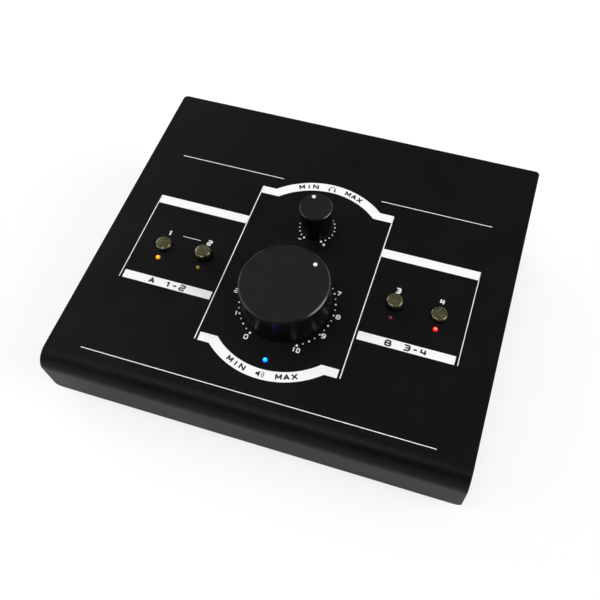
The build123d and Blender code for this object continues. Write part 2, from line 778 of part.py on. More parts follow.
def make_lamp(x, y):
    top = lamp_proud
    bottom = lamp_proud - lamp_length
    lens = rod(lamp_radius, bottom, top - lamp_radius)
    lens += Pos(0, 0, top - lamp_radius) * Sphere(lamp_radius)
    lens += rod(lamp_flange_radius, bottom, bottom + lamp_flange)
    for side in (-1, 1):
        lead_x = side * lead_pitch / 2
        lens += block((lead_x - lead_size / 2, lead_x + lead_size / 2), (-lead_size / 2, lead_size / 2),
                      (board_top_in_panel, bottom + lead_root))
    return on_panel(Pos(x, y, 0) * lens)


def make_lamp_spacer(x, y):
    low = board_top_in_panel
    high = lamp_proud - lamp_length
    spacer = rod(spacer_radius, low, high) - rod(spacer_bore, low - past, high + past)
    return on_panel(Pos(x, y, 0) * spacer)


lamp_places = {f"{name}_lamp": (x, lamp_y) for name, x in button_x.items()}
lamp_places["power_lamp"] = (0, power_lamp_y)

# ---- boards ----
control_board_half = outer_button_x + control_board_margin
control_board_y = (power_lamp_y - control_board_front, headphone_y + control_board_rear)
control_standoff_x = control_board_half - control_standoff_inset
control_standoff_y = [control_board_y[0] + control_standoff_inset,
                      control_board_y[1] - control_standoff_inset]
control_standoff_places = [(side * control_standoff_x, y) for side in (-1, 1) for y in control_standoff_y]
main_board_half = chassis_inner_half - ear_width - main_board_side
main_board_y = (rear_inner_y - main_board_gap - main_board_depth, rear_inner_y - main_board_gap)
main_standoff_x = main_board_half - main_standoff_inset
main_standoff_y = (main_board_y[0] + main_standoff_inset, rear_inner_y - main_standoff_rear)
main_standoff_places = [(side * main_standoff_x, y) for side in (-1, 0, 1) for y in main_standoff_y]


def make_control_board():
    board = block((-control_board_half, control_board_half), control_board_y,
                  (board_bottom_in_panel, board_top_in_panel))
    board = fillet(board.edges().filter_by(Axis.Z), board_corner)
    for x, y in control_standoff_places:
        board -= rod(screw_radius + hole_gap, board_bottom_in_panel - past, board_top_in_panel + past, x, y)
    return on_panel(board)


def make_main_board():
    board = block((-main_board_half, main_board_half), main_board_y, (main_board_bottom, main_board_top))
    board = fillet(board.edges().filter_by(Axis.Z), board_corner)
    for x, y in main_standoff_places:
        board -= rod(screw_radius + hole_gap, main_board_bottom - past, main_board_top + past, x, y)
    return board


def make_board_screws():
    for x, y in control_standoff_places:
        yield on_panel(Pos(x, y, board_bottom_in_panel) * Rot(180, 0, 0) * screw(board_screw_length))
    for x, y in main_standoff_places:
        yield Pos(x, y, main_board_top) * screw(board_screw_length)


def header_block(x, y, z_low):
    return centred_block((header_length, header_width, header_height), x, y, z_low)


main_header_y = rear_inner_y - main_header_rear


def make_headers():
    control_header = on_panel(header_block(header_x, control_header_y, board_bottom_in_panel - header_height))
    return control_header, header_block(header_x, main_header_y, main_board_top)


def make_ribbon():
    depth = board_bottom_in_panel - header_height
    exit_y = front_y + control_header_y * tilt_cos - depth * tilt_sin
    exit_z = corner_z + control_header_y * tilt_sin + depth * tilt_cos
    turn = (exit_y + ribbon_drop * tilt_sin, exit_z - ribbon_drop * tilt_cos)
    path = FilletPolyline((header_x, exit_y, exit_z), (header_x, *turn), (header_x, main_header_y, turn[1]),
                          (header_x, main_header_y, main_board_top + header_height), radius=ribbon_bend)
    start = Plane(origin=path @ 0, x_dir=(1, 0, 0), z_dir=path % 0)
    return sweep(start * Rectangle(ribbon_width, ribbon_thick), path)


# ---- parts on the main board ----
def make_trimmer(x):
    bottom = main_board_bottom - trimmer_height
    body = centred_block((trimmer_size, trimmer_size, trimmer_height), x, trimmer_y, bottom)
    rotor_end = bottom + rotor_depth + running_gap
    return body - rod(rotor_radius + running_gap, bottom - past, rotor_end, x, trimmer_y)


def make_rotor(x):
    bottom = main_board_bottom - trimmer_height
    rotor = rod(rotor_radius, bottom - rotor_proud, bottom + rotor_depth, x, trimmer_y)
    slot = block((x - far, x + far), (trimmer_y - rotor_slot / 2, trimmer_y + rotor_slot / 2),
                 (bottom - 2 * rotor_proud, bottom))
    return rotor - slot


def make_relay(x):
    relay = centred_block(relay_size, x, rear_inner_y - relay_rear, main_board_top)
    return chamfer(relay.edges().group_by(Axis.Z)[-1], relay_edge)


def make_chip(x):
    y = rear_inner_y - chip_rear
    length, width, height = chip_size
    body = centred_block((length, width, height - chip_foot), x, y, main_board_top + chip_foot)
    feet_size = (length - 2 * chip_foot_inset, width + 2 * chip_foot_reach, chip_foot)
    feet = centred_block(feet_size, x, y, main_board_top)
    top = main_board_top + height
    notch = rod(chip_notch_radius, top - chip_notch_depth, top + past, x - length / 2, y)
    return body + feet - notch


def make_capacitor(x):
    can = rod(capacitor_radius, main_board_top, main_board_top + capacitor_height, x,
              rear_inner_y - capacitor_rear)
    return fillet(can.edges().group_by(Axis.Z)[-1], capacitor_edge)


def make_regulator(x):
    y = rear_inner_y - regulator_rear
    body = centred_block(regulator_size, x, y, main_board_top)
    tab = centred_block(regulator_tab, x, y + (regulator_size[1] - regulator_tab[1]) / 2, main_board_top)
    hole_z = main_board_top + regulator_tab[2] - regulator_hole_drop
    return body + tab - rod_y(regulator_hole_radius, y - regulator_size[1], y + regulator_size[1], x, hole_z)


# ---- write every node ----
os.makedirs("parts", exist_ok=True)

save("top_cover", make_top_cover())
save("cover_brackets", *[make_bracket(side, y) for side, y in bracket_places])
save("case_screws", *make_case_screws())
save("chassis_tray", make_chassis_tray())
save("rear_panel", make_rear_panel())
save("rubber_feet", *[make_foot(x, y) for x, y in foot_places])
save("foot_screws", *[make_foot_screw(x, y) for x, y in foot_places])

save("main_board", make_main_board())
save("control_board", make_control_board())
save("main_standoffs", *[standoff(base_top, main_board_bottom, x, y) for x, y in main_standoff_places])
save("control_standoffs",
     *[on_panel(standoff(board_top_in_panel, -cover_sheet, x, y)) for x, y in control_standoff_places])
save("board_screws", *make_board_screws())
save("ribbon_cable", make_ribbon())
save("ribbon_headers", *make_headers())

save("volume_knob", make_volume_knob())
save("volume_shaft", make_shaft(volume_y, volume_pointer_angle))
save("volume_grub_screw", make_grub_screw(volume_y, volume_pointer_angle))
save("volume_pot_body", make_pot_body(volume_pot_size, volume_y))
save("headphone_knob", make_headphone_knob())
save("headphone_shaft", make_shaft(headphone_y, headphone_pointer_angle))
save("headphone_grub_screw", make_grub_screw(headphone_y, headphone_pointer_angle))
save("headphone_pot_body", make_pot_body(headphone_pot_size, headphone_y))
save("pot_nuts", *make_pot_nut(volume_y), *make_pot_nut(headphone_y))

for name in button_names:
    save(f"{name}_button", make_button(name))
    save(f"{name}_cap", make_cap(name))
save("button_switches", *[make_switch(name) for name in button_names])
for name, (x, y) in lamp_places.items():
    save(name, make_lamp(x, y))
save("lamp_spacers", *[make_lamp_spacer(x, y) for x, y in lamp_places.values()])

save("power_switch_body", make_power_switch_body())
save("power_rocker", make_power_rocker())
save("dc_inlet", make_dc_inlet())
save("dsub_shells", *[make_dsub_shell(x) for x in dsub_places])
save("dsub_cores", *[make_dsub_core(x) for x in dsub_places])
save("dsub_jackscrews",
     *[make_jackscrew(x + side * dsub_screw_pitch / 2) for x in dsub_places for side in (-1, 1)])
save("phones_socket", make_jack(row_x["phones"]))
save("aux_sockets", make_jack(row_x["aux_left"]), make_jack(row_x["aux_right"]))
save("socket_nuts", *[piece for x in jack_x for piece in make_jack_nut(x)])

save("capacitors", *[make_capacitor(main_board_half - capacitor_side - i * capacitor_pitch)
                    for i in range(capacitor_count)])
save("amplifier_chips", *[make_chip(x) for x in trimmer_x])
save("relays", *[make_relay(x) for x in trimmer_x])
save("regulators", *[make_regulator(main_board_half - regulator_side - i * regulator_pitch)
                    for i in range(regulator_count)])
save("trimmer_bodies", *[make_trimmer(x) for x in trimmer_x])
for index, x in enumerate(trimmer_x, start=1):
    save(f"trimmer_rotor_{index}", make_rotor(x))
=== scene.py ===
# %% [markdown]
# # A desktop monitor controller, dressed around its construction model
#
# The construction model gives every piece at its real size and place. This lesson adds what a
# construction model leaves plain: the finish of each surface, the printed scales on the sloping
# panel, the paint in the pointer dots, the light and the camera. Nothing is moved or resized.

# %% Load the fixed frame
import math

import bmesh
import bpy
from mathutils import Matrix, Vector


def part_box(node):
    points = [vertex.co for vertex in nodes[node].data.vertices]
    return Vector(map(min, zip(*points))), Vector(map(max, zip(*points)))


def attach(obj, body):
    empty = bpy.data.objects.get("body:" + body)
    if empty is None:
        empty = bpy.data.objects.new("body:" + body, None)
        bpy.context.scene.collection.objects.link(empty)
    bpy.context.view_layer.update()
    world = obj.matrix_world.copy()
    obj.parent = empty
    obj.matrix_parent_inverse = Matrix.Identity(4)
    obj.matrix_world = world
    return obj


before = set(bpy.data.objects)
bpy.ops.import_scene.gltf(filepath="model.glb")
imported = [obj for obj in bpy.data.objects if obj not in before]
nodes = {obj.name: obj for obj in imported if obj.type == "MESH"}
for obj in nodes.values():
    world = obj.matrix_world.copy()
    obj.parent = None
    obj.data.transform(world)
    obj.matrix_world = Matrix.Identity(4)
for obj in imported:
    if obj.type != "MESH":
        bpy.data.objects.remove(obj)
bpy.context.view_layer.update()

scene = bpy.context.scene
mm = 0.001

# %% [markdown]
# ## Where the panel lies
#
# All the print is laid out on the sloping panel, so it needs one placement that turns flat
# drawing coordinates into places on the sheet. It could be typed in, but it is safer to read it
# from the cover itself: the highest line of the cover is the panel's rear edge. Drawings then use
# x to the right and y rearward from that edge, so every printed place has a negative y.

# %% Placement of the panel
panel_tilt = math.radians(8.0)
cover_sheet = 2.5 * mm

cover_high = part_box("top_cover")[1]
rear_edge = Vector((0, cover_high.y - cover_sheet * math.sin(panel_tilt), cover_high.z))
panel = Matrix.Translation(rear_edge) @ Matrix.Rotation(panel_tilt, 4, "X")


def on_panel(x, from_rear):
    """A place on the panel, in metres, from millimetres along and across it."""
    return panel @ Vector((x * mm, -from_rear * mm, 0))


print("rear edge of the panel at", [round(value / mm, 2) for value in rear_edge])

# %% [markdown]
# ## Small helpers for materials
#
# Every finish here is a Principled shader with a little life in it. Four things break up a
# surface on a real product: patches where the colour drifts, small flecks of colour, patches
# where the gloss shifts, and a fine grain in the surface itself. All of them can come from noise
# on Object coordinates, which stay with the piece when it turns. A value that is the same all
# over is set on the shader itself.

# %% Material helpers
grain_detail, patch_detail = 2.0, 3.0       # layers of noise in a fine grain and in a patch
colour_inputs, colour_output = (6, 7), 2    # the sockets of a Mix node that carry colours


def new_finish(name, roughness=0.5, metallic=0.0, specular=0.5, ior=1.5):
    """A material with a Principled shader, its constants on the shader's own sockets."""
    material = bpy.data.materials.new(name)
    material.use_nodes = True
    shader = material.node_tree.nodes["Principled BSDF"]
    shader.inputs["Roughness"].default_value = roughness
    shader.inputs["Metallic"].default_value = metallic
    shader.inputs["Specular IOR Level"].default_value = specular
    shader.inputs["IOR"].default_value = ior
    return material, shader


def add_node(tree, kind, **values):
    """A node with its properties set by name, and its inputs set by name or number."""
    node = tree.nodes.new(kind)
    for key, value in values.pop("inputs", {}).items():
        node.inputs[key].default_value = value
    for key, value in values.items():
        setattr(node, key, value)
    return node


def object_place(tree, centre=(0, 0, 0), turn=(0, 0, 0)):
    """Object coordinates in metres, counted from a centre and turned with it."""
    coordinates = add_node(tree, "ShaderNodeTexCoord")
    shift = add_node(tree, "ShaderNodeVectorMath", operation="SUBTRACT", inputs={1: centre})
    turned = add_node(tree, "ShaderNodeMapping", vector_type="POINT", inputs={"Rotation": turn})
    tree.links.new(coordinates.outputs["Object"], shift.inputs[0])
    tree.links.new(shift.outputs[0], turned.inputs["Vector"])
    return turned.outputs["Vector"]


def noise(tree, place, feature, detail):
    """Noise whose features are about so many metres across."""
    texture = add_node(tree, "ShaderNodeTexNoise", inputs={"Scale": 1 / feature, "Detail": detail})
    tree.links.new(place, texture.inputs["Vector"])
    return texture.outputs["Fac"]


def spread(tree, source, low, high, source_low=0.3, source_high=0.7):
    """Map a value onto a range of a quantity. The usual ends suit noise."""
    ranger = add_node(tree, "ShaderNodeMapRange", inputs={
        "From Min": source_low, "From Max": source_high, "To Min": low, "To Max": high})
    tree.links.new(source, ranger.inputs["Value"])
    return ranger.outputs["Result"]


def between(tree, factor, first, second):
    """Mix two colours by a factor, each of them a colour or a socket."""
    mixer = add_node(tree, "ShaderNodeMix", data_type="RGBA")
    tree.links.new(factor, mixer.inputs["Factor"])
    for number, colour in zip(colour_inputs, (first, second)):
        if isinstance(colour, bpy.types.NodeSocket):
            tree.links.new(colour, mixer.inputs[number])
        else:
            mixer.inputs[number].default_value = (*colour, 1.0)
    return mixer.outputs[colour_output]


def mottled(tree, place, patch, fleck):
    """A factor that drifts over patches and flickers over flecks, half and half."""
    blend = add_node(tree, "ShaderNodeMix", data_type="FLOAT", inputs={"Factor": 0.5})
    tree.links.new(spread(tree, noise(tree, place, patch, patch_detail), 0, 1), blend.inputs["A"])
    tree.links.new(spread(tree, noise(tree, place, fleck, grain_detail), 0, 1), blend.inputs["B"])
    return blend.outputs[0]


def bumped(tree, shader, height, depth):
    """Raise and lower the surface by a height value, to a depth in metres."""
    bump = add_node(tree, "ShaderNodeBump", inputs={"Strength": 1.0, "Distance": depth})
    tree.links.new(height, bump.inputs["Height"])
    tree.links.new(bump.outputs["Normal"], shader.inputs["Normal"])


def lively(name, dark, light, patch=12 * mm, gloss=(0.4, 0.5), grain=0.4 * mm,
           depth=0.01 * mm, fleck=0.9 * mm, **constants):
    """A finish with drifting and flecked colour, drifting gloss and a fine grain."""
    material, shader = new_finish(name, **constants)
    tree = material.node_tree
    place = object_place(tree)
    drift = noise(tree, place, patch, patch_detail)
    colour = between(tree, mottled(tree, place, patch, fleck), dark, light)
    tree.links.new(colour, shader.inputs["Base Color"])
    tree.links.new(spread(tree, drift, *gloss), shader.inputs["Roughness"])
    bumped(tree, shader, noise(tree, place, grain, grain_detail), depth)
    return material


def dress(material, *names):
    """Give construction nodes their finish."""
    for name in names:
        slots = nodes[name].data.materials
        slots.clear()
        slots.append(material)
    print(material.name, "on", ", ".join(names))


# %% [markdown]
# ## The cover and the chassis
#
# The cover is aluminium sheet with a satin black powder coat. Close to, a powder coat is a field
# of tiny soft bumps, finer than a millimetre, and it hardly mirrors anything when looked at from
# above, but shines at a grazing view. A low index of refraction gives just that: almost nothing
# head on, and more along the bend and the front face. Flecks a millimetre wide keep the black
# from looking poured. The chassis has the rougher wrinkled black of a part that nobody looks at.

# %% Coatings
cover_coating = lively("cover_coating", (0.0014, 0.0014, 0.0014), (0.0042, 0.0042, 0.0042),
                       patch=30 * mm, gloss=(0.38, 0.44), grain=0.7 * mm, depth=0.012 * mm,
                       specular=0.34, ior=1.25)
dress(cover_coating, "top_cover")

chassis_coating = lively("chassis_coating", (0.007, 0.007, 0.007), (0.012, 0.012, 0.012),
                         patch=18 * mm, gloss=(0.5, 0.6), grain=0.6 * mm, depth=0.03 * mm,
                         specular=0.3)
dress(chassis_coating, "chassis_tray", "rear_panel")

# %% [markdown]
# ## The knobs
#
# Both knobs are turned from aluminium bar and anodised black. The top is faced and bead blasted
# to a soft grey sheen, the side is left smoother and darker, and the chamfer between them is cut
# last, so its metal shines through. One material can do all three, because height along the
# knob's own axis tells them apart: the cut edge lies between the side and the faced top. A trace
# of the turning marks stays on the top: rings about that axis, so the pattern is centred on it
# and turned to the panel's slope.

# %% Knob finish
knob_groove = 0.4 * mm
facing_height = 0.1 * mm      # the faced top starts this far below the knob's top
edge_height = {"volume": 1.0 * mm, "headphone": 0.6 * mm}    # height of the cut edge
edge_blend = 0.1 * mm         # the cut fades in over this height
anodised_side = (0.0022, 0.0022, 0.0023)
faced_dark, faced_light = (0.0048,) * 3, (0.0098,) * 3
faced_patch, faced_fleck = 9 * mm, 0.9 * mm
cut_metal = (0.045, 0.045, 0.045)
side_roughness, cut_roughness, faced_roughness = 0.32, 0.22, 0.46
blast_grain, blast_depth = 0.4 * mm, 0.02 * mm
groove_share = 0.15           # height of the turning marks, against the blasted grain
wave_phase = 20.0             # radians that a Wave texture runs through at a scale of 1


def wave_scale(pitch):
    """The Scale of a Wave texture whose bands or rings are one pitch apart."""
    return 2 * math.pi / wave_phase / pitch


def turned_finish(knob, from_rear, top):
    """Anodised turned aluminium: a satin top, a bright cut edge and a dark side."""
    material, shader = new_finish(f"{knob}_knob_anodised", specular=0.17)
    tree = material.node_tree
    place = object_place(tree, on_panel(0, from_rear), (-panel_tilt, 0, 0))
    axes = add_node(tree, "ShaderNodeSeparateXYZ")
    tree.links.new(place, axes.inputs[0])
    face_low, edge_low = top * mm - facing_height, top * mm - edge_height[knob]
    faced = spread(tree, axes.outputs["Z"], 0, 1, face_low, face_low + 0.5 * facing_height)
    above = spread(tree, axes.outputs["Z"], 0, 1, edge_low, edge_low + edge_blend)
    cut = add_node(tree, "ShaderNodeMath", operation="SUBTRACT")
    tree.links.new(above, cut.inputs[0])
    tree.links.new(faced, cut.inputs[1])
    flecked = mottled(tree, place, faced_patch, faced_fleck)
    body = between(tree, faced, anodised_side, between(tree, flecked, faced_dark, faced_light))
    colour = between(tree, cut.outputs[0], body, cut_metal)
    tree.links.new(colour, shader.inputs["Base Color"])
    tree.links.new(cut.outputs[0], shader.inputs["Metallic"])
    edge_roughness = spread(tree, above, side_roughness, cut_roughness, 0, 1)
    polish = add_node(tree, "ShaderNodeMix", data_type="FLOAT")
    tree.links.new(faced, polish.inputs["Factor"])
    tree.links.new(edge_roughness, polish.inputs["A"])
    polish.inputs["B"].default_value = faced_roughness
    tree.links.new(polish.outputs[0], shader.inputs["Roughness"])
    rings = add_node(tree, "ShaderNodeTexWave", wave_type="RINGS", rings_direction="Z",
                     inputs={"Scale": wave_scale(knob_groove), "Distortion": 0.4})
    tree.links.new(place, rings.inputs["Vector"])
    marks = add_node(tree, "ShaderNodeMath", operation="MULTIPLY_ADD", inputs={1: groove_share})
    tree.links.new(rings.outputs["Fac"], marks.inputs[0])
    tree.links.new(noise(tree, place, blast_grain, grain_detail), marks.inputs[2])
    height = add_node(tree, "ShaderNodeMath", operation="MULTIPLY")
    tree.links.new(marks.outputs[0], height.inputs[0])
    tree.links.new(faced, height.inputs[1])
    bumped(tree, shader, height.outputs[0], blast_depth)
    return material


# Each knob's axis, from the panel's rear edge, and its top, from the panel.
volume_from_rear, volume_top = 153.9, 26.1
headphone_from_rear, headphone_top = 91.0, 23.0
dress(turned_finish("volume", volume_from_rear, volume_top), "volume_knob")
dress(turned_finish("headphone", headphone_from_rear, headphone_top), "headphone_knob")

# %% [markdown]
# ## The push buttons
#
# Each button is a satin black plunger with a domed cap, metallised in a smoky olive tone. A
# metal shader with a dark base colour behaves like the thin metal layer: it mirrors the room,
# dimmed and tinted. The cap's colour is mottled in strong dark and light patches: some real
# unevenness of the metal layer, and painted reflection of darker and lighter parts of a room.
# A very soft bump keeps the mirror uneven too.

# %% Button finishes
button_x = {"stereo": -95.6, "sub": -66.3, "mute": 66.3, "dim": 95.6}    # along the panel, in mm

button_black = lively("button_black", (0.002, 0.002, 0.002), (0.004, 0.004, 0.004),
                      patch=4 * mm, gloss=(0.28, 0.36), grain=0.8 * mm, depth=0.002 * mm,
                      specular=0.2)
# The caps' wide range from dark to light olive paints blotches of reflection into the metal.
cap_smoky = lively("cap_smoky", (0.07, 0.07, 0.032), (0.27, 0.265, 0.15),
                   patch=3.5 * mm, gloss=(0.10, 0.18), grain=2.4 * mm, depth=0.03 * mm,
                   fleck=2.2 * mm, metallic=1.0)
dress(button_black, *[f"{name}_button" for name in button_x])
dress(cap_smoky, *[f"{name}_cap" for name in button_x])

# %% [markdown]
# ## The lamps
#
# A lit lamp is brightest over its chip in the middle and deepens in colour towards the rim of the
# lens. The distance from the lamp's axis drives both, so the glow is part of the lens and looks
# the same from all sides. An unlit lens keeps its tint and is glossy, with no light of its own.

# %% Lamp finishes
lamp_radius = 1.5 * mm
glow_start, glow_end = 0.05 * lamp_radius, 0.65 * lamp_radius    # core colour, rim colour
lens_roughness = 0.12
ripple, ripple_depth = 1.2 * mm, 0.004 * mm    # the lens's moulded face isn't quite even


def lamp_finish(name, centre, core, rim, strength):
    """A tinted lens that glows from its axis outwards; strength 0 is an unlit one."""
    material, shader = new_finish(name, roughness=lens_roughness)
    tree = material.node_tree
    place = object_place(tree, centre, (-panel_tilt, 0, 0))
    flat = add_node(tree, "ShaderNodeVectorMath", operation="MULTIPLY", inputs={1: (1, 1, 0)})
    tree.links.new(place, flat.inputs[0])
    reach = add_node(tree, "ShaderNodeVectorMath", operation="LENGTH")
    tree.links.new(flat.outputs[0], reach.inputs[0])
    outward = spread(tree, reach.outputs["Value"], 0, 1, glow_start, glow_end)
    glow = between(tree, outward, core, rim)
    tree.links.new(glow, shader.inputs["Base Color"])
    if strength:
        tree.links.new(glow, shader.inputs["Emission Color"])
        shader.inputs["Emission Strength"].default_value = strength
    bumped(tree, shader, noise(tree, place, ripple, grain_detail), ripple_depth)
    return material


button_lamps_from_rear, power_lamp_from_rear = 144.8, 195.9
lamp_places = {f"{name}_lamp": (x, button_lamps_from_rear) for name, x in button_x.items()}
lamp_places["power_lamp"] = (0.0, power_lamp_from_rear)
lamp_looks = {                # colour at the core, colour at the rim, strength of the glow
    "stereo_lamp": ((0.72, 0.60, 0.001), (0.64, 0.17, 0.001), 1.6),
    "sub_lamp": ((0.46, 0.32, 0.008), (0.16, 0.10, 0.004), 0),
    "mute_lamp": ((0.22, 0.005, 0.006), (0.08, 0.002, 0.002), 0),
    "dim_lamp": ((1.0, 0.30, 0.20), (1.0, 0.004, 0.006), 1.5),
    "power_lamp": ((0.004, 0.50, 1.0), (0.0004, 0.065, 1.0), 6.0),
}
for name, (core, rim, strength) in lamp_looks.items():
    centre = on_panel(*lamp_places[name])
    dress(lamp_finish(f"{name}_lens", centre, core, rim, strength), name)

# %% [markdown]
# ## Fasteners, rubber and the sockets
#
# These pieces are small but close to the hand: zinc-plated steel, black screws, nickel nuts,
# moulded plastics and soft rubber. Their finishes differ in colour, gloss and grain, and one
# helper makes them all.

# %% Hardware finishes
plated_steel = lively("plated_steel", (0.50, 0.49, 0.46), (0.66, 0.65, 0.60), patch=5 * mm,
                      gloss=(0.26, 0.36), grain=0.5 * mm, depth=0.004 * mm, metallic=1.0)
dress(plated_steel, "cover_brackets", "main_standoffs", "control_standoffs", "board_screws",
      "volume_shaft", "headphone_shaft", "volume_pot_body", "headphone_pot_body", "pot_nuts",
      "dsub_shells", "dsub_jackscrews")

black_screws = lively("black_screws", (0.012, 0.012, 0.013), (0.024, 0.024, 0.025), patch=2 * mm,
                      gloss=(0.28, 0.4), grain=0.3 * mm, depth=0.004 * mm, metallic=0.6)
dress(black_screws, "case_screws", "foot_screws", "volume_grub_screw", "headphone_grub_screw")

nickel = lively("socket_nut_nickel", (0.58, 0.56, 0.52), (0.70, 0.68, 0.64), patch=6 * mm,
                gloss=(0.10, 0.18), grain=0.9 * mm, depth=0.003 * mm, metallic=1.0)
dress(nickel, "socket_nuts")

rubber = lively("rubber", (0.010, 0.010, 0.010), (0.020, 0.020, 0.020), patch=5 * mm,
                gloss=(0.75, 0.9), grain=0.5 * mm, depth=0.02 * mm, specular=0.3)
dress(rubber, "rubber_feet")

moulded_black = lively("moulded_black", (0.008, 0.008, 0.008), (0.014, 0.014, 0.014), patch=7 * mm,
                       gloss=(0.36, 0.48), grain=0.45 * mm, depth=0.012 * mm, specular=0.4)
dress(moulded_black, "ribbon_headers", "button_switches", "lamp_spacers", "power_switch_body",
      "dc_inlet", "dsub_cores", "phones_socket", "aux_sockets", "amplifier_chips", "regulators")

rocker_black = lively("rocker_black", (0.006, 0.006, 0.006), (0.010, 0.010, 0.010), patch=5 * mm,
                      gloss=(0.2, 0.28), grain=0.7 * mm, depth=0.004 * mm)
dress(rocker_black, "power_rocker")

# %% [markdown]
# ## Inside the case
#
# The boards and their parts are closed in, and only show when the case is taken apart, but each
# still has its own finish. The board's copper shows through the green mask as lighter tracks:
# a brick pattern with long bricks makes a fair set of parallel tracks without drawing any.

# %% Board finish
track_tile, track_depth = 20 * mm, 0.03 * mm


def board_finish(name):
    """Green solder mask over parallel copper tracks."""
    material, shader = new_finish(name, roughness=0.32)
    tree = material.node_tree
    place = object_place(tree)
    tracks = add_node(tree, "ShaderNodeTexBrick", offset=0.37, inputs={
        "Scale": 1 / track_tile, "Mortar Size": 0.03, "Brick Width": 1.6, "Row Height": 0.13,
        "Color1": (0.012, 0.085, 0.030, 1), "Color2": (0.014, 0.100, 0.036, 1),
        "Mortar": (0.030, 0.190, 0.070, 1)})
    tree.links.new(place, tracks.inputs["Vector"])
    tree.links.new(tracks.outputs["Color"], shader.inputs["Base Color"])
    bumped(tree, shader, tracks.outputs["Fac"], track_depth)
    return material


dress(board_finish("board_laminate"), "main_board", "control_board")

# %% Ribbon cable finish, with painted shade in the grooves
ribbon_pitch, rib_depth = 1.27 * mm, 0.2 * mm

ribbon, ribbon_shader = new_finish("ribbon_insulation", roughness=0.45)
ribbon_tree = ribbon.node_tree
ribbon_place = object_place(ribbon_tree)
ribbon_ribs = add_node(ribbon_tree, "ShaderNodeTexWave", wave_type="BANDS", bands_direction="X",
                       inputs={"Scale": wave_scale(ribbon_pitch)})
ribbon_tree.links.new(ribbon_place, ribbon_ribs.inputs["Vector"])
rib_height = ribbon_ribs.outputs["Fac"]
# The grey is darker in the grooves between the wires and lighter on the crests: painted shade along
# the ribs.
ribbon_grey_groove_shade = between(ribbon_tree, rib_height, (0.34, 0.34, 0.35), (0.50, 0.50, 0.51))
ribbon_tree.links.new(ribbon_grey_groove_shade, ribbon_shader.inputs["Base Color"])
bumped(ribbon_tree, ribbon_shader, rib_height, rib_depth)
dress(ribbon, "ribbon_cable")

# %% Component finishes
component_looks = {           # darkest colour, lightest colour, roughness range
    "capacitors": ("capacitor_sleeve", (0.012, 0.018, 0.055), (0.020, 0.030, 0.085), (0.2, 0.3)),
    "relays": ("relay_case", (0.62, 0.60, 0.55), (0.74, 0.72, 0.66), (0.4, 0.5)),
    "trimmer_bodies": ("trimmer_blue", (0.02, 0.09, 0.38), (0.03, 0.13, 0.48), (0.35, 0.45)),
}
for name, (finish, dark, light, gloss) in component_looks.items():
    dress(lively(finish, dark, light, gloss=gloss), name)
rotor_white = lively("rotor_white", (0.70, 0.70, 0.67), (0.82, 0.82, 0.79),
                     patch=2 * mm, gloss=(0.35, 0.45))
dress(rotor_white, *[name for name in sorted(nodes) if name.startswith("trimmer_rotor_")])

# %% [markdown]
# ## Printing on the panel
#
# The lines, bars and numerals are screen printed: a layer of paint a few hundredths of a
# millimetre thick. It could be painted by a material, but a mask that sharp needs an image. Thin
# real shapes are crisper, and they survive export. Each shape is drawn flat, in panel
# coordinates, then the whole print is carried to the panel at once. Its lower face sits a little
# inside the sheet, so that nothing floats.

# %% Flat drawing tools
paint_low, paint_high = -0.02, 0.03    # the paint's underside and top, in mm, from the panel


def add_prism(drawing, outline, low, high):
    """Extrude a flat outline, in mm, between two heights."""
    lower = [drawing.verts.new((x * mm, y * mm, low * mm)) for x, y in outline]
    upper = [drawing.verts.new((x * mm, y * mm, high * mm)) for x, y in outline]
    drawing.faces.new(upper)
    drawing.faces.new(lower[::-1])
    for i in range(len(outline)):
        after = (i + 1) % len(outline)
        drawing.faces.new((lower[i], lower[after], upper[after], upper[i]))


def add_bar(drawing, x_low, x_high, rear, front, low=paint_low, high=paint_high):
    """A rectangle given by its sides and its distances from the panel's rear edge."""
    outline = [(x_low, -front), (x_high, -front), (x_high, -rear), (x_low, -rear)]
    add_prism(drawing, outline, low, high)


def add_strip(drawing, left, right, low, high):
    """A closed strip between two rows of points that run side by side."""
    rows = []
    for height in (low, high):
        rows.append([[drawing.verts.new((x * mm, y * mm, height * mm)) for x, y in row]
                     for row in (left, right)])
    (left_low, right_low), (left_high, right_high) = rows
    for i in range(len(left) - 1):
        drawing.faces.new((left_high[i], left_high[i + 1], right_high[i + 1], right_high[i]))
        drawing.faces.new((left_low[i], right_low[i], right_low[i + 1], left_low[i + 1]))
        drawing.faces.new((left_low[i], left_low[i + 1], left_high[i + 1], left_high[i]))
        drawing.faces.new((right_low[i + 1], right_low[i], right_high[i], right_high[i + 1]))
    for i, flip in ((0, False), (len(left) - 1, True)):
        end = [left_low[i], left_high[i], right_high[i], right_low[i]]
        drawing.faces.new(end[::-1] if flip else end)


def finish_drawing(name, drawing, placement, material, body):
    """Turn a flat drawing into a piece that lies on its surface and rides on a body."""
    bmesh.ops.recalc_face_normals(drawing, faces=drawing.faces)
    mesh = bpy.data.meshes.new(name)
    drawing.to_mesh(mesh)
    drawing.free()
    mesh.transform(placement)
    mesh.materials.append(material)
    piece = bpy.data.objects.new(name, mesh)
    scene.collection.objects.link(piece)
    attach(piece, body)
    print(name, "has", len(mesh.polygons), "faces")
    return mesh


print_white = lively("print_white", (0.93, 0.93, 0.925), (0.97, 0.97, 0.965), patch=8 * mm,
                     gloss=(0.42, 0.5), grain=0.25 * mm, depth=0.003 * mm, specular=0.3)
print_black = lively("print_black", (0.006, 0.006, 0.006), (0.010, 0.010, 0.010), patch=8 * mm,
                     gloss=(0.42, 0.5), grain=0.25 * mm, depth=0.003 * mm, specular=0.3)

# %% [markdown]
# ## Lines, bars and the framed middle
#
# The panel is divided by thin lines: a tall frame round the two knobs, a box on each side round
# two buttons, and one line along the front. Top and bottom of the middle frame are closed by
# white bands that swell into an arc over each knob. The band is one rule: two straight tabs and
# two concentric arcs, so it is drawn as a strip between an outer and an inner row of points.

